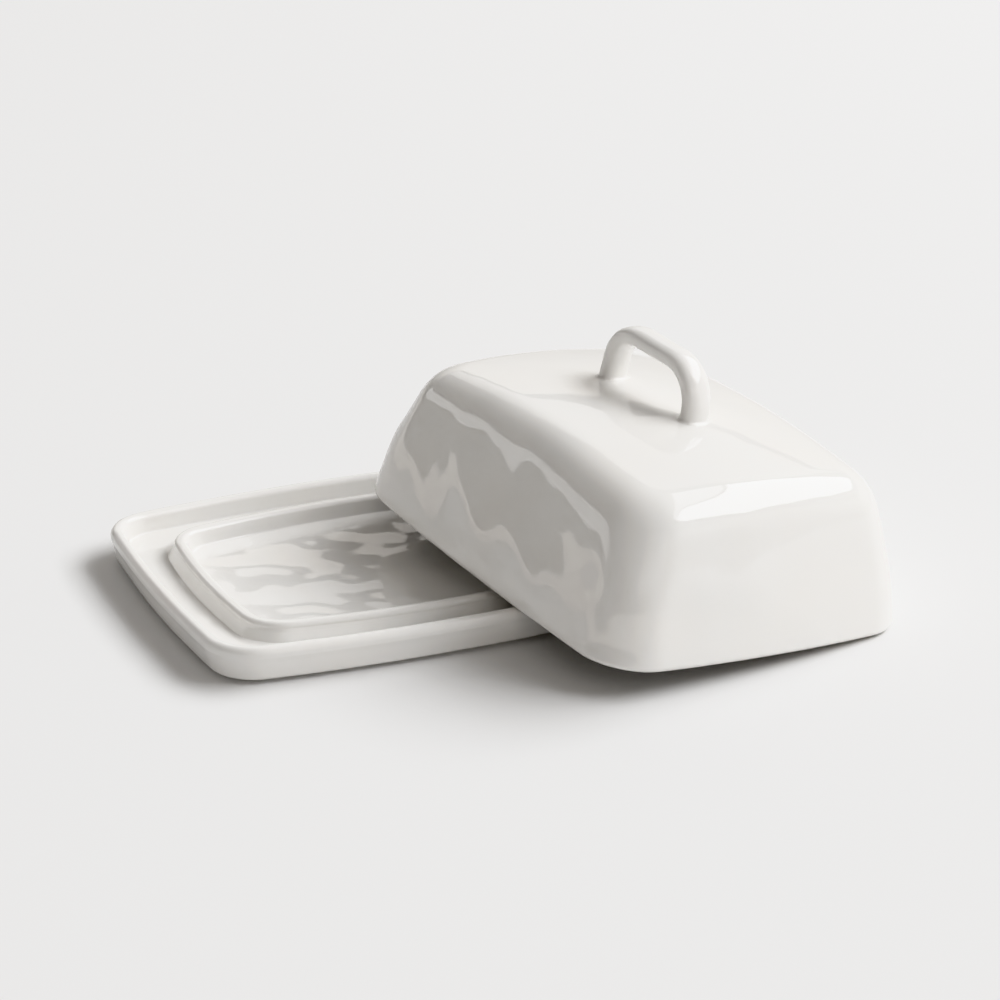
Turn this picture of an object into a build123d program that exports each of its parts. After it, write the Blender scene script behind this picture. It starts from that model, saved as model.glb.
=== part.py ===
from build123d import *
import math
import os

# Butter dish: a tray with a raised rim and an inner ridge, and a deep cover with a luted loop handle.
# Millimetres, +Z up.  The origin is the centre of the tray's footprint, at table level.
# The cover is modelled the way it rests: laid crosswise over one end of the tray, leaning.

# --- driving dimensions ---------------------------------------------------------------------------
TRAY_LENGTH = 168.8        # along X, over the rim
TRAY_WIDTH = 130.4         # along Y, over the rim
TRAY_CORNER = 17.0
TRAY_END_BOW = 2.9         # how far the short sides bow out past their corners
TRAY_SIDE_BOW = 6.6        # the same for the long sides
FLOOR_TOP = 5.6            # channel and well share this floor level
FLOOR_BOTTOM = 1.5         # underside, recessed inside the foot
FOOT_INSET = 5.0           # from the rim's edge to the foot's outer edge
FOOT_WIDTH = 4.0
PLATE_OVERLAP = 1.0        # the floor plate runs this far into the rim's section
SMALL_ROUND = 0.5          # the softened edges of the foot

RIM_HEIGHT = 12.4
RIM_WIDTH = 4.4
BEAD_DEPTH = 3.2           # height of the rolled bead that finishes the rim
BEAD_STEP = 0.45           # the wall below it is set back by this much
BEAD_ROUND = 0.6
RIM_DRAFT = 0.4            # the rim's inner wall leans outward by this much
RIM_FILLET = 1.6           # where it meets the floor
CREST_SHARE = 0.49         # rims are rounded over almost half their width on each side

RIDGE_INSET = 18.7         # from the rim's edge to the ridge's crest line
RIDGE_CORNER = 13.0
RIDGE_HEIGHT = 11.2
RIDGE_WIDTH = 3.8
RIDGE_OUTER_FLANK = 2.0    # how far each flank spreads at the floor
RIDGE_INNER_FLANK = 1.6
RIDGE_FILLET = 2.4         # where the inner flank meets the well
RIDGE_TOE = 3.0            # the ridge's section carries on this far under the well
RIDGE_SINK = 2.0           # and this far down into the floor plate

COVER_GAP = 5.0            # from the tray's edge to the cover's edge, when the cover is on
COVER_HEIGHT = 54.3        # at the middle of the crown
COVER_CORNER = 19.5        # vertical corners, at the mouth
COVER_CORNER_TAPER = 0.09  # they tighten by this much per millimetre of height
COVER_CORNER_INNER = 0.7   # and by this much per millimetre of wall
COVER_END_BOW = 2.9
COVER_SIDE_BOW = 2.2
COVER_WALL = 4.5
COVER_LEAN = 0.153         # slope of the wall at the mouth
COVER_LEAN_GROWTH = 0.00245  # the wall leans in more and more with height
COVER_EDGE = 12.5          # rounding between the wall and the crown
MOUTH_ROUND = 1.7
CROWN_ALONG = 402.0        # radii of the gently domed top
CROWN_ACROSS = 296.0
DOME_SWEEP = 22.0          # the dome is drawn this many degrees each way, past the cover's edges
SECTION_STEP = 15.0        # the walls are lofted through sections this far apart
HOLLOW_START = -5.0        # the hollow is cut from this far below the mouth

HANDLE_SPAN = 41.0         # between the feet, centre to centre
HANDLE_RISE = 17.4         # from the crown's top to the middle of the grip at its higher end
HANDLE_SAG = 2.0           # the grip's other end is this much lower
HANDLE_LEAN = 1.6          # each leg leans in by this much at the top
HANDLE_BEND = 12.0
HANDLE_ACROSS = 10.0       # oval section: across the loop, and in its plane
HANDLE_THICK = 6.5
HANDLE_SINK = 4.0          # the legs run this far below the crown before they are trimmed to it
FOOT_FLARE = 1.2           # the feet spread by this much on each side where they meet the crown
FOOT_FLARE_HEIGHT = 3.0
HANDLE_SHIFT = (1.1, -1.9) # luted by hand a little off the centre and a little turned
HANDLE_TURN = 3.8

# The cover's resting pose: turned across the tray, tipped down at one side and up at the far end.
COVER_PLACE = (66.6, -32.1, 9.507)
COVER_TURN = 96.5
COVER_TIP = 4.898
COVER_PITCH = -3.872


# --- shapes shared by the pieces ------------------------------------------------------------------
def soft_rectangle(length, width, corner, end_bow, side_bow):
    """A flat face with outward-bowing sides and rounded corners, centred on the origin."""
    x, y = length / 2, width / 2
    corner_x, corner_y = x - end_bow, y - side_bow
    face = Face(Wire([
        ThreePointArc((corner_x, -corner_y), (x, 0), (corner_x, corner_y)).edge(),
        ThreePointArc((corner_x, corner_y), (0, y), (-corner_x, corner_y)).edge(),
        ThreePointArc((-corner_x, corner_y), (-x, 0), (-corner_x, -corner_y)).edge(),
        ThreePointArc((-corner_x, -corner_y), (0, -y), (corner_x, -corner_y)).edge(),
    ]))
    return face.fillet_2d(corner, face.vertices())


def tray_outline(inset, corner):
    """The tray's outline moved inward, with its own corner radius."""
    length, width = TRAY_LENGTH - 2 * inset, TRAY_WIDTH - 2 * inset
    return soft_rectangle(length, width, corner, TRAY_END_BOW, TRAY_SIDE_BOW)


def run_around(outline, corners):
    """Sweep a section once around an outline.

    The section's corners are (distance inward, height, rounding)."""
    points = [(inward, height) for inward, height, rounding in corners]
    roundings = [rounding for inward, height, rounding in corners]
    section = make_face(FilletPolyline(*points, radius=roundings, close=True))
    path = outline.outer_wire()
    start = path @ 0
    inward = Vector(0, 0, 1).cross(path % 0)
    if inward.dot(start) > 0:
        inward = -inward
    station = Plane(origin=start, x_dir=inward, z_dir=inward.cross(Vector(0, 0, 1)))
    return sweep(station * section, path=path)


# --- tray: floor, foot and rim, and the ridge that keeps the cover in place ----------------------
def make_tray():
    foot_inner = FOOT_INSET + FOOT_WIDTH
    foot_slope = FLOOR_BOTTOM - SMALL_ROUND
    joint_inset = foot_inner + foot_slope + 2 * PLATE_OVERLAP
    plate_inset = joint_inset - PLATE_OVERLAP
    bead_bottom = RIM_HEIGHT - BEAD_DEPTH
    bead_round = CREST_SHARE * RIM_WIDTH
    rim = run_around(tray_outline(0, TRAY_CORNER), [
        (FOOT_INSET, 0, SMALL_ROUND),
        (BEAD_STEP, bead_bottom - BEAD_STEP, 0),
        (0, bead_bottom, BEAD_ROUND),
        (0, RIM_HEIGHT, bead_round),
        (RIM_WIDTH, RIM_HEIGHT, bead_round),
        (RIM_WIDTH + RIM_DRAFT, FLOOR_TOP, RIM_FILLET),
        (joint_inset, FLOOR_TOP, 0),
        (joint_inset, FLOOR_BOTTOM, 0),
        (foot_inner + foot_slope, FLOOR_BOTTOM, SMALL_ROUND),
        (foot_inner, 0, SMALL_ROUND),
    ])
    half = RIDGE_WIDTH / 2
    crest_round = CREST_SHARE * RIDGE_WIDTH
    flank_top = RIDGE_HEIGHT - half
    outer_foot = -half - RIDGE_OUTER_FLANK
    inner_foot = half + RIDGE_INNER_FLANK
    sunk = FLOOR_TOP - RIDGE_SINK
    ridge = run_around(tray_outline(RIDGE_INSET, RIDGE_CORNER), [
        (outer_foot, sunk, 0),
        (outer_foot, FLOOR_TOP, 0),
        (-half - BEAD_STEP / 2, flank_top, 0),
        (-half, flank_top, 0),
        (-half, RIDGE_HEIGHT, crest_round),
        (half, RIDGE_HEIGHT, crest_round),
        (inner_foot, FLOOR_TOP, RIDGE_FILLET),
        (inner_foot + RIDGE_TOE, FLOOR_TOP, 0),
        (inner_foot + RIDGE_TOE, sunk, 0),
    ])
    plate = extrude(tray_outline(plate_inset, TRAY_CORNER - plate_inset), FLOOR_TOP - FLOOR_BOTTOM)
    return rim + Pos(0, 0, FLOOR_BOTTOM) * plate + ridge


# --- cover: a drafted shell with a softly domed top -----------------------------------------------
def domed_block(height, along, across):
    """Everything below a dome that curves gently both ways."""
    reach = across * math.sin(math.radians(DOME_SWEEP))
    drop = across - (across**2 - reach**2) ** 0.5
    axis_z = height - along
    outline = make_face([
        ThreePointArc((-reach, height - drop), (0, height), (reach, height - drop)),
        Polyline((reach, height - drop), (reach, axis_z), (-reach, axis_z), (-reach, height - drop)),
    ])
    upright = Plane(origin=(0, 0, 0), x_dir=(0, 1, 0), z_dir=(1, 0, 0)) * outline
    spin = Axis((0, 0, axis_z), (0, 1, 0))
    return revolve(upright.rotate(spin, -DOME_SWEEP), spin, 2 * DOME_SWEEP)


def cover_form(offset, bottom):
    """The cover's outside, or its hollow when offset is the wall thickness."""
    sections = []
    above = math.ceil(COVER_HEIGHT / SECTION_STEP)
    for z in [bottom] + [SECTION_STEP * step for step in range(1, above + 1)]:
        inset = offset + z * (COVER_LEAN + COVER_LEAN_GROWTH * z)
        outline = soft_rectangle(
            TRAY_LENGTH - 2 * (COVER_GAP + inset),
            TRAY_WIDTH - 2 * (COVER_GAP + inset),
            COVER_CORNER - COVER_CORNER_TAPER * z - COVER_CORNER_INNER * offset,
            COVER_END_BOW,
            COVER_SIDE_BOW,
        )
        sections.append(Pos(0, 0, z) * outline)
    walls = loft(sections)
    form = walls & domed_block(COVER_HEIGHT - offset, CROWN_ALONG - offset, CROWN_ACROSS - offset)
    top = form.faces().sort_by(Axis.Z)[-1]
    return fillet(top.edges(), COVER_EDGE - offset)


def make_cover():
    shell = cover_form(0, 0) - cover_form(COVER_WALL, HOLLOW_START)
    mouth = shell.faces().sort_by(Axis.Z)[0]
    return fillet(mouth.edges(), MOUTH_ROUND)


# --- handle: a thrown loop luted onto the crown ---------------------------------------------------
def make_handle():
    half = HANDLE_SPAN / 2
    grip_z = COVER_HEIGHT + HANDLE_RISE
    foot_z = COVER_HEIGHT - HANDLE_SINK
    upright = Plane(origin=(0, 0, 0), x_dir=(1, 0, 0), z_dir=(0, -1, 0))
    path = upright * FilletPolyline(
        (-half, foot_z),
        (-half + HANDLE_LEAN, grip_z - HANDLE_SAG),
        (half - HANDLE_LEAN, grip_z),
        (half, foot_z),
        radius=HANDLE_BEND,
    )
    across, thick = HANDLE_ACROSS / 2, HANDLE_THICK / 2
    loop = sweep(Plane(origin=path @ 0, x_dir=(0, 1, 0), z_dir=path % 0) * Ellipse(across, thick), path=path)
    flare_z = COVER_HEIGHT + FOOT_FLARE_HEIGHT
    flare_half = half - HANDLE_LEAN * (flare_z - foot_z) / (grip_z - foot_z)
    for side in (-1, 1):
        loop += loft([
            Pos(side * half, 0, foot_z) * Ellipse(thick + 2 * FOOT_FLARE, across + 2 * FOOT_FLARE),
            Pos(side * flare_half, 0, flare_z) * Ellipse(thick, across),
        ])
    return Pos(*HANDLE_SHIFT, 0) * Rot(0, 0, HANDLE_TURN) * loop - cover_form(0, 0)


def resting(piece):
    """Move a piece of the cover from where it is drawn to where it leans on the tray."""
    pose = Pos(*COVER_PLACE) * Rot(0, 0, COVER_TURN) * Rot(COVER_TIP, 0, 0) * Rot(0, COVER_PITCH, 0)
    return pose * piece


pieces = {
    "tray": make_tray(),
    "cover_shell": resting(make_cover()),
    "cover_handle": resting(make_handle()),
}

os.makedirs("parts", exist_ok=True)
for name, piece in pieces.items():
    export_step(piece, f"parts/{name}.step")
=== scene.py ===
import math

import bmesh
import bpy
import numpy as np
from mathutils import Matrix, Vector
from mathutils.bvhtree import BVHTree


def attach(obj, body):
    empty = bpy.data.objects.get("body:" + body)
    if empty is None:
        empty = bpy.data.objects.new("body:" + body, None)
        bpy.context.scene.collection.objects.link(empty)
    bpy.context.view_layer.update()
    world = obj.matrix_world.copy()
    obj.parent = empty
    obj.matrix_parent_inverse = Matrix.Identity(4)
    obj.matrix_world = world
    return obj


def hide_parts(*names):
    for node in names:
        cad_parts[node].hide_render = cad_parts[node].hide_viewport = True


# A white porcelain butter dish: a tray with a raised rim and an inner ridge, and a deep cover with a
# luted loop handle, leaning across the tray.  Lengths are in millimetres until a mesh is made from them,
# and angles in degrees.  The bump, the floor and the lights are in metres.
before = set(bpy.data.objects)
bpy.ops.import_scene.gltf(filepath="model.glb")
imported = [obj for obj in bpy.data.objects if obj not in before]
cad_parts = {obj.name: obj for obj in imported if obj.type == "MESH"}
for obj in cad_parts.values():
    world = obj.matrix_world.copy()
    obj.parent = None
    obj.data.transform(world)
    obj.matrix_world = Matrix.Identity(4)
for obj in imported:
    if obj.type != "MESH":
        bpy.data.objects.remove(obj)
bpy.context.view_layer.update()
MM = 0.001

# --- driving dimensions: the tray -----------------------------------------------------------------
TRAY_LENGTH = 168.8         # along X, over the rim
TRAY_WIDTH = 130.4          # along Y, over the rim
TRAY_CORNER = 17.0
TRAY_END_BOW = 2.9          # how far the short sides bow out past their corners
TRAY_SIDE_BOW = 6.6         # the same for the long sides
FLOOR_TOP = 5.6             # channel and well share this floor level
FLOOR_BOTTOM = 1.5          # underside, recessed inside the foot
FOOT_INSET = 5.0            # from the rim's edge to the foot's outer edge
FOOT_WIDTH = 4.0
FOOT_INNER_DRAFT = 1.0      # how far each flank of the foot leans
FOOT_OUTER_DRAFT = 0.3
FOOT_HEIGHT = 1.1           # outside, where the foot meets the turned-under wall
FOOT_INNER_ROUND = 0.5
FOOT_EDGE_ROUND = 0.4
FOOT_TOP_ROUND = 0.3

TUCK_INSET = 2.0            # the wall turns under towards the foot from here
TUCK_HEIGHT = 1.3
TUCK_ROUND = 1.8
RIM_HEIGHT = 12.4
RIM_WIDTH = 4.4
RIM_DRAFT = 0.4             # the rim's inner wall leans outward by this much
RIM_FILLET = 0.8            # where it meets the floor
BEAD_DEPTH = 3.2            # height of the rolled bead that finishes the rim
BEAD_STEP = 0.45            # the wall below it is set back by this much
BEAD_SLOPE = 1.4            # and slopes in to that over this height
BEAD_ROUND = 1.2
WALL_ROUND = 2.0
CREST_SHARE = 0.49          # crests are rounded over almost half their width on each side

RIDGE_INSET = 18.7          # from the rim's edge to the ridge's crest line
RIDGE_CORNER = 13.0
RIDGE_HEIGHT = 11.2
RIDGE_WIDTH = 3.8
RIDGE_OUTER_FLANK = 2.0     # how far each flank spreads at the floor
RIDGE_INNER_FLANK = 1.6
RIDGE_OUTER_FILLET = 0.3    # where the flanks meet the floor
RIDGE_INNER_FILLET = 0.9
RIDGE_OUTER_CREST = 0.4     # share of the width that rounds the crest's outer side
SHOULDER_OUT = 0.4          # the outer flank has a soft shoulder that stands out by this much
SHOULDER_BELOW = 0.9        # from this far below the start of the crest's rounding
SHOULDER_ABOVE = 0.2        # to this far above it
SHOULDER_ROUND = 0.9
SHOULDER_TOP_ROUND = 0.5

UNDERSIDE_RUN = 4.0         # the sections carry on this far along the flat stretches beside them
CHANNEL_RUN = 3.0
RIDGE_RUN = 2.5
WELL_RUN = 3.0

# --- driving dimensions: the cover, in its own frame, with its mouth at height 0 ------------------
COVER_GAP = 5.0             # from the tray's edge to the cover's edge, when the cover is on
COVER_HEIGHT = 54.3         # at the middle of the crown
COVER_CORNER = 19.5         # vertical corners, at the mouth
COVER_CORNER_TAPER = 0.09   # they tighten by this much per millimetre of height
COVER_CORNER_INNER = 0.7    # and by this much per millimetre of wall
COVER_END_BOW = 2.9
COVER_SIDE_BOW = 2.2
COVER_WALL = 4.5
COVER_LEAN = 0.153          # slope of the wall at the mouth
COVER_LEAN_GROWTH = 0.00245  # the wall leans in more and more with height
COVER_EDGE = 12.5           # size of the soft turn between the wall and the crown
COVER_EDGE_REACH = 0.76     # share of it that the turn takes from the wall and from the crown
MOUTH_ROUND = 1.7
CROWN_ALONG = 402.0         # radii of the gently domed top
CROWN_ACROSS = 296.0
CROWN_RUN = 2.0             # the rings carry on this far over the crown

HANDLE_SPAN = 41.0          # between the feet, centre to centre
HANDLE_RISE = 17.2          # from the crown's top to the middle of the grip at its higher end
HANDLE_SAG = 2.0            # the grip's other end is this much lower
HANDLE_NEAR_LEAN = 0.6      # how far each leg leans in at the top
HANDLE_FAR_LEAN = 2.4
HANDLE_NEAR_BEND = 12.5
HANDLE_FAR_BEND = 10.5
HANDLE_ACROSS = 10.0        # oval section: across the loop, and in its plane
HANDLE_THICK = 6.5
HANDLE_SQUARENESS = 2.3     # 2 would be an ellipse
HANDLE_SHIFT = (1.1, -1.9)  # luted by hand a little off the centre and a little turned
HANDLE_TURN = 3.8
FOOT_FILLET = 1.2           # round each foot, where the handle was luted on
FOOT_SINK = 0.5             # the feet run this far into the cover

# The cover's resting place: turned across the tray, tipped down at one side and up at the far end.
COVER_PLACE = (66.6, -32.1, 9.507)
COVER_TURN = 96.5
COVER_TIP = 4.898
COVER_PITCH = -3.872

# --- hand-finished unevenness: (wavelength, depth, seed) of each ripple, and where it fades -------
TRAY_RIPPLE = ((50, 0.18, 11), (24, 0.13, 12), (13, 0.05, 13))
WELL_FADE = 4               # the well's ripple dies down over this distance inside the ridge's crest line
CHANNEL_SHARE = 0.35        # and outside that line, this share of it is left
CREST_FADE = (FLOOR_TOP + 1, FLOOR_TOP + 3)
CREST_RIPPLE = 0.5          # between those heights, rim and ridge fall to this share
FOOT_FADE = 3               # no ripple at the table, all of it from this height up

COVER_RIPPLE = ((60, 0.26, 21), (24, 0.22, 27), (13, 0.07, 23))
COVER_SIDE_FADE = (0.2 * TRAY_WIDTH, 0.35 * TRAY_WIDTH)
COVER_SIDE_SHARES = (0.4, 1)    # from the rest of the cover to one long wall
COVER_LEVELS = (1, 5, COVER_HEIGHT / 2, COVER_HEIGHT - 8)
COVER_LEVEL_SHARES = (0.2, 1, 1, 0.4)    # from the mouth to the crown

HANDLE_RIPPLE = ((16, 0.06, 31),)
HANDLE_FADE = 4             # no ripple at the crown, all of it from this far above it

RIPPLE_WAVES = 12
RIPPLE_SPREAD = (0.7, 1.5)  # the waves' lengths, as shares of a ripple's wavelength

# --- how finely the surfaces are divided ----------------------------------------------------------
END_STEPS = 20              # half an end, a corner and half a side of each loop
CORNER_STEPS = 14
SIDE_STEPS = 26
LONGEST_EDGE = 2.2          # along a section
ARC_STEP = 10               # degrees, round a section's corners
WALL_STEPS = 19             # up the cover's wall, and over its soft turn
EDGE_STEPS = 16
CROWN_SHARES = (0.25, 0.5, 1.0)  # how the rings stand along CROWN_RUN
MEETING_ROUNDS = 20         # steps that find where wall and crown would meet
HANDLE_STEPS = 48           # round the handle
FILLET_STEPS = 8            # down the fillet at its feet

# --- finishes -------------------------------------------------------------------------------------
GLAZE_COLOUR = (0.83, 0.825, 0.81)
GLAZE_WARM = (0.84, 0.825, 0.80)
GLAZE_ROUGHNESS = (0.015, 0.045)
GLAZE_IOR = 1.58
CLAY_DARK = (0.62, 0.58, 0.52)
CLAY_LIGHT = (0.74, 0.71, 0.66)
CLAY_ROUGHNESS = 0.9
BUMP_DISTANCE = 0.0001
BARE_BELOW = 0.35           # up to this height above the tray's foot or the cover's mouth

# --- stage ----------------------------------------------------------------------------------------
FLOOR_REACH = 8             # from the origin to each edge
FLOOR_COLOUR = (0.80, 0.80, 0.80)
FLOOR_ROUGHNESS = 0.9
FLOOR_SPECULAR = 0.1

# (upward part of a direction, level): a pale backdrop with a dim ceiling over it, and, to the left, a
# dim room with a bright band low down.
BACKDROP = ((0.0, 0.45), (0.10, 0.45), (0.22, 0.60), (0.370, 0.88), (0.375, 0.13), (0.5, 0.19), (1.0, 0.25))
ROOM = ((0.0, 1.0), (0.050, 1.0), (0.054, 0.05), (0.35, 0.10), (0.50, 0.25), (1.0, 0.25))
ROOM_SIDE = -0.25           # the rightward part of a direction where the room ends
BACKDROP_SIDE = 0.05        # and where it has given way to the backdrop
STUDIO_COLOUR = (1.0, 0.95, 0.89)
STUDIO_STRENGTH = 1.2

# Each light's name, direction from the origin, distance, (width, height), brightness and colour.
COOL_WHITE = (0.975, 0.985, 1.0)
LIGHTS = (
    ("key", (0.72, -0.12, 0.68), 6, (6.6, 2.5), 8.6, COOL_WHITE),
    ("key_top", (0.51, -0.085, 0.857), 6, (6.6, 0.7), 2.8, COOL_WHITE),
    ("card", (0.41, 0.72, 0.56), 10, (8, 3.3), 0.82, (1.0, 0.98, 0.96)),
    ("strip", (-0.70, 0.70, 0.25), 5, (5, 0.8), 1.5, (1.0, 1.0, 1.0)),
    ("fill", (-0.15, -0.9, 0.40), 8, (5, 4), 0.72, (1.0, 0.97, 0.94)),
)

CAMERA_TARGET = (26.667, -20.0, 30.165)
CAMERA_AZIMUTH = -26.137    # 0 looks along +Y
CAMERA_ELEVATION = 21.145
CAMERA_DISTANCE = 768.81
CAMERA_ROLL = 0.984
CAMERA_LENS = 86.4


# --- loops and profiles ---------------------------------------------------------------------------
def loop_layout():
    """How far each point of a loop is through its quarter, and that quarter's signs in X and Y.

    A quarter runs from 0 at the middle of an end to 1 where the corner starts, to 2 where it ends,
    and to 3 at the middle of a side."""
    out = np.concatenate([
        np.linspace(stretch, stretch + 1, steps, endpoint=False)
        for stretch, steps in enumerate((END_STEPS, CORNER_STEPS, SIDE_STEPS))
    ])
    back = np.concatenate([[3.0], out[:0:-1]])
    ones = np.ones(len(out))
    through = np.concatenate([out, back, out, back])
    sign_x = np.concatenate([ones, -ones, -ones, ones])
    sign_y = np.concatenate([ones, ones, -ones, -ones])
    return through, sign_x, sign_y


THROUGH, SIGN_X, SIGN_Y = loop_layout()
AROUND = len(THROUGH)


def by_stretch(end, corner, side):
    """For each point of a loop, the value that holds on its end, its corner or its side."""
    return np.where(THROUGH < 1, end, np.where(THROUGH < 2, corner, side))


def soft_loop(length, width, corner, end_bow, side_bow):
    """Points and outward directions of a rectangle with bowed sides and rounded corners.

    Each end and side is one large arc, and each corner is an arc that runs smoothly into both.  The
    sizes may be single values or one for each point of the loop."""
    x, y = length / 2, width / 2
    end_radius = ((y - side_bow) ** 2 + end_bow**2) / (2 * end_bow)
    side_radius = ((x - end_bow) ** 2 + side_bow**2) / (2 * side_bow)
    end_x = x - end_radius
    side_y = y - side_radius
    apart = np.hypot(end_x, side_y)
    along = ((end_radius - corner) ** 2 - (side_radius - corner) ** 2 + apart**2) / (2 * apart)
    across = np.sqrt((end_radius - corner) ** 2 - along**2)
    corner_x = end_x - (along * end_x + across * side_y) / apart
    corner_y = (along * side_y - across * end_x) / apart
    first = np.arctan2(corner_y, corner_x - end_x)
    last = np.arctan2(corner_y - side_y, corner_x)
    angle = by_stretch(
        THROUGH * first,
        first + (THROUGH - 1) * (last - first),
        last + (THROUGH - 2) * (math.pi / 2 - last),
    )
    radius = by_stretch(end_radius, corner, side_radius)
    out_x, out_y = np.cos(angle), np.sin(angle)
    loop_x = by_stretch(end_x, corner_x, 0) + radius * out_x
    loop_y = by_stretch(0, corner_y, side_y) + radius * out_y
    return SIGN_X * loop_x, SIGN_Y * loop_y, SIGN_X * out_x, SIGN_Y * out_y


def rounded_corner(before, corner, after):
    """Points along the arc that rounds off a corner (across, up, rounding) between its neighbours."""
    here = np.array(corner[:2], float)
    back, on = np.array(before[:2]) - here, np.array(after[:2]) - here
    back, on = back / np.linalg.norm(back), on / np.linalg.norm(on)
    turn = math.pi - math.acos(float(np.clip(back @ on, -1, 1)))
    reach = corner[2] * math.tan(turn / 2)
    middle = here + (back + on) / np.linalg.norm(back + on) * corner[2] / math.cos(turn / 2)
    spoke_in, spoke_out = here + back * reach - middle, here + on * reach - middle
    arc = []
    for share in np.linspace(0, 1, max(2, math.ceil(turn / math.radians(ARC_STEP)) + 1)):
        spoke = math.sin((1 - share) * turn) * spoke_in + math.sin(share * turn) * spoke_out
        arc.append(middle + spoke / math.sin(turn))
    return arc


def rounded_line(corners):
    """A line through corners (across, up, rounding), divided so that its points stay close together."""
    sparse = [np.array(corners[0][:2], float)]
    for before, corner, after in zip(corners, corners[1:], corners[2:]):
        sparse += rounded_corner(before, corner, after)
    sparse.append(np.array(corners[-1][:2], float))
    line = [sparse[0]]
    for start, end in zip(sparse, sparse[1:]):
        pieces = max(1, math.ceil(np.linalg.norm(end - start) / LONGEST_EDGE))
        line += [start + (end - start) * k / pieces for k in range(1, pieces + 1)]
    return line


# --- meshes ---------------------------------------------------------------------------------------
def strip_faces(rings, around):
    """Quads between each ring of points and the next."""
    here = np.arange(around)
    after = (here + 1) % around
    lower = np.arange(rings - 1)[:, None] * around
    upper = lower + around
    quads = np.stack([lower + here, lower + after, upper + after, upper + here], -1)
    return quads.reshape(-1, 4).tolist()


def patch(ring, ring_start, next_index, height):
    """Fill a loop with a grid of quads, and return the points inside it and the quads.

    The loop is the grid's edge.  The points inside are blended from it in plan (a Coons patch), and
    their height is a function of x and y."""
    wide, deep = CORNER_STEPS + 2 * SIDE_STEPS, CORNER_STEPS + 2 * END_STEPS
    order = (END_STEPS + CORNER_STEPS // 2 + np.arange(AROUND + 1)) % AROUND
    grid = np.full((wide + 1, deep + 1), -1)
    grid[:, 0] = order[: wide + 1]
    grid[wide, :] = order[wide : wide + deep + 1]
    grid[:, deep] = order[wide + deep : 2 * wide + deep + 1][::-1]
    grid[0, :] = order[2 * wide + deep :][::-1]
    u = np.linspace(0, 1, wide + 1)[:, None, None]
    v = np.linspace(0, 1, deep + 1)[None, :, None]
    edge = ring[:, :2]
    top, bottom = edge[grid[:, 0]][:, None], edge[grid[:, deep]][:, None]
    near, far = edge[grid[0, :]][None], edge[grid[wide, :]][None]
    ends = (1 - u) * ((1 - v) * top[0] + v * bottom[0]) + u * ((1 - v) * top[-1] + v * bottom[-1])
    flat = (1 - v) * top + v * bottom + (1 - u) * near + u * far - ends
    inside = flat[1:-1, 1:-1].reshape(-1, 2)
    grid = grid + ring_start
    grid[1:-1, 1:-1] = next_index + np.arange(len(inside)).reshape(wide - 1, deep - 1)
    quads = np.stack([grid[:-1, :-1], grid[1:, :-1], grid[1:, 1:], grid[:-1, 1:]], -1)
    points = np.column_stack([inside, height(inside[:, 0], inside[:, 1])])
    return points, quads.reshape(-1, 4).tolist()


def closed_skin(rings, first_height, last_height):
    """Vertices and faces of rings skinned in order, with a patch over the first and the last."""
    points = np.concatenate(rings)
    faces = strip_faces(len(rings), AROUND)
    last_start = (len(rings) - 1) * AROUND
    for start, ring, height in ((0, rings[0], first_height), (last_start, rings[-1], last_height)):
        inside, quads = patch(ring, start, len(points), height)
        points = np.concatenate([points, inside])
        faces += quads
    return points, faces


def level_height(level):
    """A height function that is the same everywhere."""
    return lambda x, y: np.full(len(x), level)


def unevenness(points, wavelength, seed):
    """A smooth, repeatable ripple of about -1 to 1, from crossing waves."""
    rng = np.random.default_rng(seed)
    total = np.zeros(len(points))
    for _ in range(RIPPLE_WAVES):
        direction = rng.normal(size=3)
        direction /= np.linalg.norm(direction) * wavelength * rng.uniform(*RIPPLE_SPREAD)
        total += np.sin(2 * math.pi * (points @ direction + rng.uniform()))
    return total / math.sqrt(RIPPLE_WAVES)


def new_piece(name, points, faces):
    """A smooth-shaded object from points in millimetres, its faces turned outward."""
    mesh = bpy.data.meshes.new(name)
    mesh.from_pydata((points * MM).tolist(), [], faces)
    work = bmesh.new()
    work.from_mesh(mesh)
    bmesh.ops.recalc_face_normals(work, faces=work.faces)
    work.to_mesh(mesh)
    work.free()
    mesh.shade_smooth()
    piece = bpy.data.objects.new(name, mesh)
    bpy.context.scene.collection.objects.link(piece)
    return piece


def ripple(piece, ripples, share):
    """Move the surface in and out a little, as hand-finished clay and thick glaze do."""
    mesh = piece.data
    points = np.array([v.co for v in mesh.vertices]) / MM
    normals = np.array([v.normal for v in mesh.vertices])
    shift = sum(depth * unevenness(points, wavelength, seed) for wavelength, depth, seed in ripples)
    moved = points + normals * (shift * share(points))[:, None]
    mesh.vertices.foreach_set("co", (moved * MM).ravel())
    mesh.update()


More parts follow.
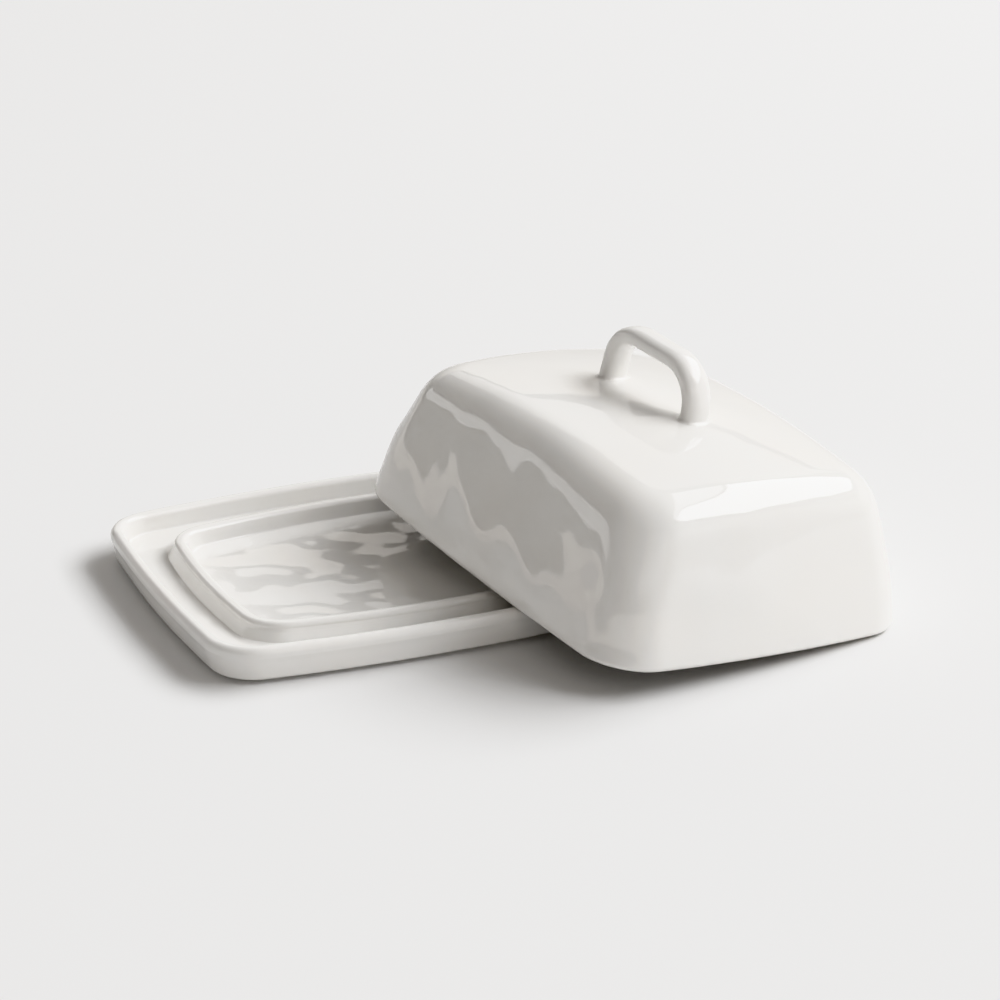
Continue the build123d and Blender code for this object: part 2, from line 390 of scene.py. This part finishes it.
# --- tray -----------------------------------------------------------------------------------------
def rim_section():
    """From the underside inside the foot, round the foot, wall and rim, to the channel's floor."""
    foot_inner = FOOT_INSET + FOOT_WIDTH
    bead_bottom = RIM_HEIGHT - BEAD_DEPTH
    return rounded_line([
        (foot_inner + UNDERSIDE_RUN, FLOOR_BOTTOM, 0),
        (foot_inner + FOOT_INNER_DRAFT, FLOOR_BOTTOM, FOOT_INNER_ROUND),
        (foot_inner, 0, FOOT_INNER_ROUND),
        (FOOT_INSET + FOOT_OUTER_DRAFT, 0, FOOT_EDGE_ROUND),
        (FOOT_INSET, FOOT_HEIGHT, FOOT_TOP_ROUND),
        (TUCK_INSET, TUCK_HEIGHT, TUCK_ROUND),
        (BEAD_STEP, bead_bottom - BEAD_SLOPE, WALL_ROUND),
        (0, bead_bottom, BEAD_ROUND),
        (0, RIM_HEIGHT, CREST_SHARE * RIM_WIDTH),
        (RIM_WIDTH, RIM_HEIGHT, CREST_SHARE * RIM_WIDTH),
        (RIM_WIDTH + RIM_DRAFT, FLOOR_TOP, RIM_FILLET),
        (RIM_WIDTH + CHANNEL_RUN, FLOOR_TOP, 0),
    ])


def ridge_section():
    """From the channel's floor over the ridge to the well's floor, measured from the crest line."""
    half = RIDGE_WIDTH / 2
    roll_bottom = RIDGE_HEIGHT - half
    return rounded_line([
        (-half - RIDGE_OUTER_FLANK - RIDGE_RUN, FLOOR_TOP, 0),
        (-half - RIDGE_OUTER_FLANK, FLOOR_TOP, RIDGE_OUTER_FILLET),
        (-half - SHOULDER_OUT, roll_bottom - SHOULDER_BELOW, SHOULDER_ROUND),
        (-half, roll_bottom + SHOULDER_ABOVE, SHOULDER_TOP_ROUND),
        (-half, RIDGE_HEIGHT, RIDGE_OUTER_CREST * RIDGE_WIDTH),
        (half, RIDGE_HEIGHT, CREST_SHARE * RIDGE_WIDTH),
        (half + RIDGE_INNER_FLANK, FLOOR_TOP, RIDGE_INNER_FILLET),
        (half + RIDGE_INNER_FLANK + WELL_RUN, FLOOR_TOP, 0),
    ])


def tray_ring(inset, corner, inward, height):
    """A loop parallel to the tray's outline moved in by inset, and then inward again."""
    length, width = TRAY_LENGTH - 2 * inset, TRAY_WIDTH - 2 * inset
    x, y, out_x, out_y = soft_loop(length, width, corner, TRAY_END_BOW, TRAY_SIDE_BOW)
    return np.column_stack([x - out_x * inward, y - out_y * inward, np.full(AROUND, height)])


def tray_share(points):
    """How much of the ripple each point of the tray takes.

    All of it in the well, less outside the well and on the crests, and none at the foot."""
    height = points[:, 2]
    past_end = np.abs(points[:, 0]) - TRAY_LENGTH / 2
    past_side = np.abs(points[:, 1]) - TRAY_WIDTH / 2
    past_ridge = np.maximum(past_end, past_side) + RIDGE_INSET
    outward = np.interp(past_ridge, (-WELL_FADE, 0), (1, CHANNEL_SHARE))
    upward = np.clip(height / FOOT_FADE, 0, 1)
    return outward * upward * np.interp(height, CREST_FADE, (1, CREST_RIPPLE))


def make_tray():
    """Rim and ridge sections run round the dish, with the underside and the well's floor filled in."""
    rings = [tray_ring(0, TRAY_CORNER, inward, height) for inward, height in rim_section()]
    rings += [tray_ring(RIDGE_INSET, RIDGE_CORNER, inward, height) for inward, height in ridge_section()]
    points, faces = closed_skin(rings, level_height(FLOOR_BOTTOM), level_height(FLOOR_TOP))
    tray = new_piece("tray_porcelain", points, faces)
    ripple(tray, TRAY_RIPPLE, tray_share)
    return tray


# --- cover ----------------------------------------------------------------------------------------
def resting_place():
    """Where the cover and its handle rest, as a matrix in metres."""
    turn = Matrix.Rotation(math.radians(COVER_TURN), 4, "Z")
    tip = Matrix.Rotation(math.radians(COVER_TIP), 4, "X")
    pitch = Matrix.Rotation(math.radians(COVER_PITCH), 4, "Y")
    return Matrix.Translation(Vector(COVER_PLACE) * MM) @ (turn @ tip @ pitch)


def lean_at(height):
    """How far the cover's wall has leaned in at a height."""
    return height * (COVER_LEAN + COVER_LEAN_GROWTH * height)


def cover_ring(offset, height):
    """A loop of the wall, offset inward from its outside, at one height or at one for each point."""
    inset = COVER_GAP + offset + lean_at(height)
    corner = COVER_CORNER - COVER_CORNER_TAPER * height - COVER_CORNER_INNER * offset
    length, width = TRAY_LENGTH - 2 * inset, TRAY_WIDTH - 2 * inset
    return soft_loop(length, width, corner, COVER_END_BOW, COVER_SIDE_BOW)


def crown_height(offset):
    """The height of the domed top, or of the hollow's roof when offset is the wall's thickness."""
    along, across, top = CROWN_ALONG - offset, CROWN_ACROSS - offset, COVER_HEIGHT - offset

    def height(x, y):
        side_drop = across - np.sqrt(across**2 - y**2)
        return top - along + np.sqrt((along - side_drop) ** 2 - x**2)

    return height


def shell_rings(offset, start):
    """Rings up one face of the wall from height start, and over its soft turn onto the crown."""
    crown = crown_height(offset)
    meet = np.full(AROUND, COVER_HEIGHT)
    for _ in range(MEETING_ROUNDS):
        x, y, out_x, out_y = cover_ring(offset, meet)
        meet = crown(x, y)
    reach = COVER_EDGE_REACH * (COVER_EDGE - offset)
    wall_top = meet - reach
    rings = []
    for share in np.linspace(0, 1, WALL_STEPS + 1)[1:]:
        height = start + (wall_top - start) * share
        wall_x, wall_y, _, _ = cover_ring(offset, height)
        rings.append(np.column_stack([wall_x, wall_y, height]))
    corner = np.column_stack([x, y, meet])
    crown_x, crown_y = x - out_x * reach, y - out_y * reach
    landing = np.column_stack([crown_x, crown_y, crown(crown_x, crown_y)])
    foot = rings[-1]
    for share in np.linspace(0, 1, EDGE_STEPS + 1)[1:]:
        rings.append((1 - share) ** 2 * foot + 2 * share * (1 - share) * corner + share**2 * landing)
    for share in CROWN_SHARES:
        inner_x = crown_x - out_x * CROWN_RUN * share
        inner_y = crown_y - out_y * CROWN_RUN * share
        rings.append(np.column_stack([inner_x, inner_y, crown(inner_x, inner_y)]))
    return rings


def mouth_rings(top):
    """Rings down the inside of the mouth's rounded edge from height top, and up its outside."""
    rings = []
    for inward, height in rounded_line([
        (COVER_WALL + lean_at(top), top, 0),
        (COVER_WALL, 0, MOUTH_ROUND),
        (0, 0, MOUTH_ROUND),
        (lean_at(top), top, 0),
    ]):
        x, y, _, _ = cover_ring(inward - lean_at(height), height)
        rings.append(np.column_stack([x, y, np.full(AROUND, height)]))
    return rings


def cover_share(points):
    """How much of the ripple each point of the cover takes.

    Most of it on one long wall, and less at the mouth and on the crown."""
    across = np.interp(points[:, 1], COVER_SIDE_FADE, COVER_SIDE_SHARES)
    return across * np.interp(points[:, 2], COVER_LEVELS, COVER_LEVEL_SHARES)


def make_cover():
    """The hollow's roof and walls, the rounded mouth, and the outside walls and crown, as one skin."""
    lip_top = 2 * MOUTH_ROUND
    rings = shell_rings(COVER_WALL, lip_top)[::-1] + mouth_rings(lip_top) + shell_rings(0, lip_top)
    points, faces = closed_skin(rings, crown_height(COVER_WALL), crown_height(0))
    cover = new_piece("cover_porcelain", points, faces)
    ripple(cover, COVER_RIPPLE, cover_share)
    return cover


# --- handle ---------------------------------------------------------------------------------------
def surface_height(piece):
    """A function giving the height of a piece's top surface, ripple and all, under each point."""
    mesh = piece.data
    tree = BVHTree.FromPolygons([v.co / MM for v in mesh.vertices], [f.vertices for f in mesh.polygons])

    def height(x, y):
        above = 2 * COVER_HEIGHT
        return np.array([tree.ray_cast((px, py, above), (0, 0, -1))[0].z for px, py in zip(x, y)])

    return height


def on_cover(x, y):
    """From the handle's own length and width to the cover's."""
    turn = math.radians(HANDLE_TURN)
    return (
        HANDLE_SHIFT[0] + x * math.cos(turn) - y * math.sin(turn),
        HANDLE_SHIFT[1] + x * math.sin(turn) + y * math.cos(turn),
    )


def handle_section():
    """The section's points, across the loop and in its plane, and their outward directions."""
    around = np.linspace(0, 2 * math.pi, HANDLE_STEPS, endpoint=False)
    cos, sin = np.cos(around), np.sin(around)
    power = 2 / HANDLE_SQUARENESS
    across = np.sign(cos) * np.abs(cos) ** power * HANDLE_ACROSS / 2
    thick = np.sign(sin) * np.abs(sin) ** power * HANDLE_THICK / 2
    outward = np.column_stack([cos / HANDLE_ACROSS, sin / HANDLE_THICK])
    outward /= np.linalg.norm(outward, axis=1)[:, None]
    return across, thick, outward


def grip_rings(section):
    """Rings up one leg, along the grip and down the other leg."""
    across, thick, _ = section
    half = HANDLE_SPAN / 2
    leg_foot = COVER_HEIGHT + FOOT_FILLET
    line = np.array(rounded_line([
        (-half, leg_foot, 0),
        (-half + HANDLE_NEAR_LEAN, COVER_HEIGHT + HANDLE_RISE - HANDLE_SAG, HANDLE_NEAR_BEND),
        (half - HANDLE_FAR_LEAN, COVER_HEIGHT + HANDLE_RISE, HANDLE_FAR_BEND),
        (half, leg_foot, 0),
    ]))
    heading = np.gradient(line, axis=0)
    heading /= np.linalg.norm(heading, axis=1)[:, None]
    return [
        np.column_stack([*on_cover(x - thick * rise, across), z + thick * run])
        for (x, z), (run, rise) in zip(line, heading)
    ]


def foot_rings(section, side, ground):
    """Rings of the fillet under one leg, spreading down to the ground and then into it."""
    across, thick, outward = section
    rings = []
    for angle in np.linspace(0, math.pi / 2, FILLET_STEPS + 1)[1:]:
        spread = FOOT_FILLET * (1 - math.cos(angle))
        above = FOOT_FILLET * (1 - math.sin(angle))
        along = side * (HANDLE_SPAN / 2 + thick + outward[:, 1] * spread)
        x, y = on_cover(along, across + outward[:, 0] * spread)
        rings.append(np.column_stack([x, y, ground(x, y) + above]))
    rings.append(rings[-1] - np.array([0, 0, FOOT_SINK]))
    return rings


def handle_share(points):
    """How much of the ripple each point of the handle takes: none at its feet."""
    return np.clip((points[:, 2] - COVER_HEIGHT) / HANDLE_FADE, 0, 1)


def make_handle(cover):
    """One closed loop of oval section, whose feet follow the cover's own surface."""
    section = handle_section()
    ground = surface_height(cover)
    rings = foot_rings(section, -1, ground)[::-1] + grip_rings(section) + foot_rings(section, 1, ground)
    points = np.concatenate(rings)
    faces = strip_faces(len(rings), HANDLE_STEPS)
    faces += [list(range(HANDLE_STEPS)), list(range(len(points) - HANDLE_STEPS, len(points)))]
    handle = new_piece("handle_porcelain", points, faces)
    ripple(handle, HANDLE_RIPPLE, handle_share)
    return handle


# --- materials ------------------------------------------------------------------------------------
def new_material(name):
    """A material with its nodes, its links and its shader."""
    material = bpy.data.materials.new(name)
    material.use_nodes = True
    nodes, links = material.node_tree.nodes, material.node_tree.links
    return material, nodes, links, nodes["Principled BSDF"]


def noise(nodes, links, scale, detail):
    """Noise that stays with the piece."""
    place = nodes.new("ShaderNodeTexCoord")
    texture = nodes.new("ShaderNodeTexNoise")
    texture.inputs["Scale"].default_value = scale
    texture.inputs["Detail"].default_value = detail
    links.new(place.outputs["Object"], texture.inputs["Vector"])
    return texture.outputs["Fac"]


def tint(nodes, links, level, shader, first, second):
    """Colour the shader from one (position, colour) pair to another, as a level rises."""
    ramp = nodes.new("ShaderNodeValToRGB")
    for element, (position, colour) in zip(ramp.color_ramp.elements, (first, second)):
        element.position = position
        element.color = (*colour, 1)
    links.new(level, ramp.inputs["Fac"])
    links.new(ramp.outputs["Color"], shader.inputs["Base Color"])


def fine_bump(nodes, links, height, shader, strength):
    """Give the shader a fine bump from a height."""
    bump = nodes.new("ShaderNodeBump")
    bump.inputs["Strength"].default_value = strength
    bump.inputs["Distance"].default_value = BUMP_DISTANCE
    links.new(height, bump.inputs["Height"])
    links.new(bump.outputs["Normal"], shader.inputs["Normal"])


def glaze(name):
    """Glossy white glaze, with faint clouds in its colour, faint smears in its gloss and a fine peel."""
    material, nodes, links, shader = new_material(name)
    clouds = noise(nodes, links, scale=30, detail=3)
    tint(nodes, links, clouds, shader, (0.3, GLAZE_COLOUR), (0.75, GLAZE_WARM))
    smears = noise(nodes, links, scale=90, detail=4)
    gloss = nodes.new("ShaderNodeMapRange")
    gloss.inputs["From Min"].default_value = 0.3
    gloss.inputs["From Max"].default_value = 0.8
    gloss.inputs["To Min"].default_value = GLAZE_ROUGHNESS[0]
    gloss.inputs["To Max"].default_value = GLAZE_ROUGHNESS[1]
    links.new(smears, gloss.inputs["Value"])
    links.new(gloss.outputs["Result"], shader.inputs["Roughness"])
    peel = noise(nodes, links, scale=450, detail=2)
    fine_bump(nodes, links, peel, shader, strength=0.06)
    shader.inputs["IOR"].default_value = GLAZE_IOR
    return material


def bare_clay(name):
    """The unglazed body where a piece stood in the kiln: fine-grained, dry and a little warmer."""
    material, nodes, links, shader = new_material(name)
    grain = noise(nodes, links, scale=1800, detail=3)
    tint(nodes, links, grain, shader, (0, CLAY_DARK), (1, CLAY_LIGHT))
    fine_bump(nodes, links, grain, shader, strength=0.5)
    shader.inputs["Roughness"].default_value = CLAY_ROUGHNESS
    return material


def finish(piece, glazed, bare=None):
    """Glaze a piece, and leave bare the faces that it stood on in the kiln."""
    piece.data.materials.append(glazed)
    if bare:
        piece.data.materials.append(bare)
        for face in piece.data.polygons:
            face.material_index = int(face.center.z < BARE_BELOW * MM)


# --- stage ----------------------------------------------------------------------------------------
def make_floor():
    """A plain pale floor under the dish."""
    mesh = bpy.data.meshes.new("floor")
    corners = [(x * FLOOR_REACH, y * FLOOR_REACH, 0) for x, y in ((-1, -1), (1, -1), (1, 1), (-1, 1))]
    mesh.from_pydata(corners, [], [(0, 1, 2, 3)])
    floor = bpy.data.objects.new("floor", mesh)
    bpy.context.scene.collection.objects.link(floor)
    material, _, _, shader = new_material("pale_floor")
    shader.inputs["Base Color"].default_value = (*FLOOR_COLOUR, 1)
    shader.inputs["Roughness"].default_value = FLOOR_ROUGHNESS
    shader.inputs["Specular IOR Level"].default_value = FLOOR_SPECULAR
    mesh.materials.append(material)


def area_light(name, direction, distance, size, brightness, colour):
    """A rectangular softbox facing the origin, as bright whatever its size."""
    lamp = bpy.data.lights.new(name, "AREA")
    lamp.shape = "RECTANGLE"
    lamp.size, lamp.size_y = size
    lamp.energy = brightness * math.pi * size[0] * size[1]
    lamp.color = colour
    light = bpy.data.objects.new(name, lamp)
    bpy.context.scene.collection.objects.link(light)
    place = Vector(direction).normalized() * distance
    light.location = place
    light.rotation_euler = (-place).to_track_quat("-Z", "Y").to_euler()


def level_ramp(nodes, links, position, levels):
    """A grey that follows (position, level) pairs."""
    ramp = nodes.new("ShaderNodeValToRGB")
    elements = ramp.color_ramp.elements
    while len(elements) < len(levels):
        elements.new(0.5)   # anywhere: each is moved to its own position below
    for element, (place, level) in zip(elements, levels):
        element.position = place
        element.color = (level, level, level, 1)
    links.new(position, ramp.inputs["Fac"])
    return ramp.outputs["Color"]


def make_world():
    """The studio that the glaze reflects: the backdrop to the right, and the room to the left."""
    world = bpy.data.worlds.new("studio")
    world.use_nodes = True
    nodes, links = world.node_tree.nodes, world.node_tree.links
    direction = nodes.new("ShaderNodeTexCoord")
    parts = nodes.new("ShaderNodeSeparateXYZ")
    links.new(direction.outputs["Generated"], parts.inputs["Vector"])
    rightward = nodes.new("ShaderNodeMapRange")
    rightward.inputs["From Min"].default_value = ROOM_SIDE
    rightward.inputs["From Max"].default_value = BACKDROP_SIDE
    links.new(parts.outputs["X"], rightward.inputs["Value"])
    sides = nodes.new("ShaderNodeMix")
    sides.data_type = "RGBA"
    links.new(rightward.outputs["Result"], sides.inputs["Factor"])
    links.new(level_ramp(nodes, links, parts.outputs["Z"], ROOM), sides.inputs["A"])
    links.new(level_ramp(nodes, links, parts.outputs["Z"], BACKDROP), sides.inputs["B"])
    warm = nodes.new("ShaderNodeMix")
    warm.data_type = "RGBA"
    warm.blend_type = "MULTIPLY"
    warm.inputs["Factor"].default_value = 1
    warm.inputs["B"].default_value = (*STUDIO_COLOUR, 1)
    links.new(sides.outputs["Result"], warm.inputs["A"])
    links.new(warm.outputs["Result"], nodes["Background"].inputs["Color"])
    nodes["Background"].inputs["Strength"].default_value = STUDIO_STRENGTH
    bpy.context.scene.world = world


def make_camera():
    """The camera, set as scene camera, aimed at its target from its azimuth, elevation and distance."""
    azimuth, elevation = math.radians(CAMERA_AZIMUTH), math.radians(CAMERA_ELEVATION)
    away = Vector((
        math.sin(azimuth) * math.cos(elevation),
        -math.cos(azimuth) * math.cos(elevation),
        math.sin(elevation),
    ))
    data = bpy.data.cameras.new("camera")
    data.lens = CAMERA_LENS
    camera = bpy.data.objects.new("camera", data)
    bpy.context.scene.collection.objects.link(camera)
    camera.rotation_mode = "QUATERNION"
    camera.location = (Vector(CAMERA_TARGET) + away * CAMERA_DISTANCE) * MM
    roll = Matrix.Rotation(math.radians(CAMERA_ROLL), 4, "Z").to_quaternion()
    camera.rotation_quaternion = (-away).to_track_quat("-Z", "Y") @ roll
    bpy.context.scene.camera = camera


# --- assembly -------------------------------------------------------------------------------------
tray = make_tray()
cover = make_cover()
handle = make_handle(cover)
finish(tray, glaze("tray_glaze"), bare_clay("tray_foot_clay"))
finish(cover, glaze("cover_glaze"), bare_clay("cover_mouth_clay"))
finish(handle, glaze("handle_glaze"))
for piece in (cover, handle):
    piece.data.transform(resting_place())
for piece, node, body, slot in (
    (tray, "tray", "tray", "tray_glaze"),
    (cover, "cover_shell", "cover", "cover_glaze"),
    (handle, "cover_handle", "cover", "handle_glaze"),
):
    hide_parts(node)
    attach(piece, body)

make_floor()
make_world()
for light in LIGHTS:
    area_light(*light)
make_camera()
bpy.context.scene.view_settings.view_transform = "Khronos PBR Neutral"
